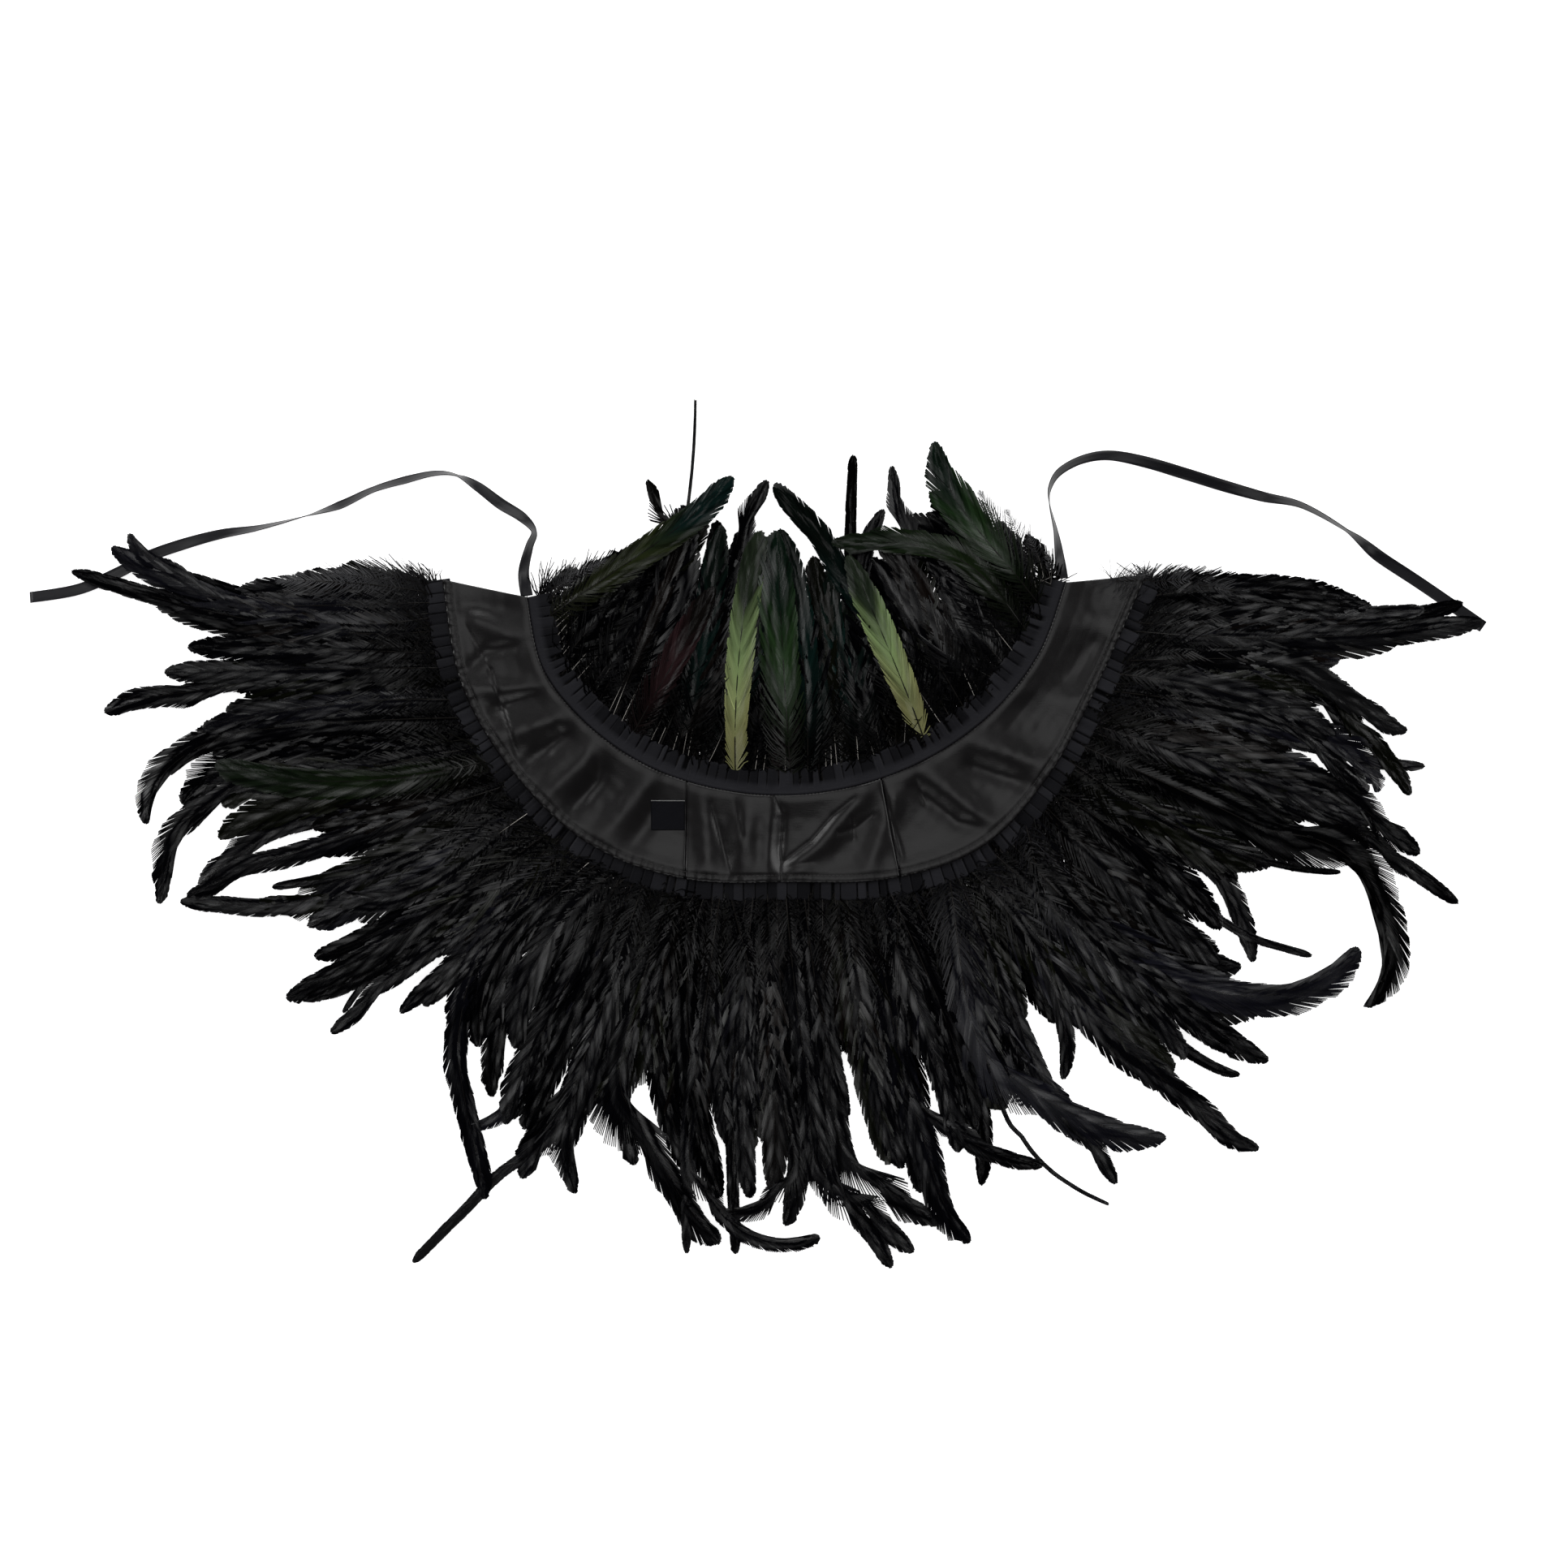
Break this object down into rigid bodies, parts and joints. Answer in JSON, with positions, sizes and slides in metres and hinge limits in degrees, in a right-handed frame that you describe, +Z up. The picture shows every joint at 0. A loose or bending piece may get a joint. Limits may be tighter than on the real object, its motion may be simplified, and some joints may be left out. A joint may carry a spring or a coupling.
{
  "type": "feather cape",
  "caption": "Crescent satin yoke with dark feathers round its hem and neck and two ribbon ties, laid flat with its lining up.",
  "frame": {"origin": "middle of the cape's plan outline, ties aside, on the surface that it lies on", "axes": "+Z up out of the lining, +X towards the right front as seen from above, +Y from the hem towards the neck"},
  "size_m": [0.9892, 0.589, 0.0133],
  "materials": {
    "shell_satin": "satin",
    "lining_satin": "satin",
    "label_weave": "woven",
    "trim_tape": "gathered",
    "hem_feathers": "glossy feather",
    "collar_feathers": "iridescent feather",
    "down": "fluffy",
    "tie_ribbon": "satin"
  },
  "bodies": {
    "root": {"shell_left_front": "shell_satin", "shell_back": "shell_satin", "shell_right_front": "shell_satin", "lining_left_front": "lining_satin", "lining_back": "lining_satin", "lining_right_front": "lining_satin", "label": "label_weave", "hem_under_left_front": "hem_feathers", "hem_under_back": "hem_feathers", "hem_under_right_front": "hem_feathers", "hem_top_left_front": "hem_feathers", "hem_top_back": "hem_feathers", "hem_top_right_front": "hem_feathers", "collar_under_left_front": "collar_feathers", "collar_under_back": "collar_feathers", "collar_under_right_front": "collar_feathers", "collar_top_left_front": "collar_feathers", "collar_top_back": "collar_feathers", "collar_top_right_front": "collar_feathers", "tie_left": "tie_ribbon", "tie_right": "tie_ribbon"}
  },
  "joints": []
}
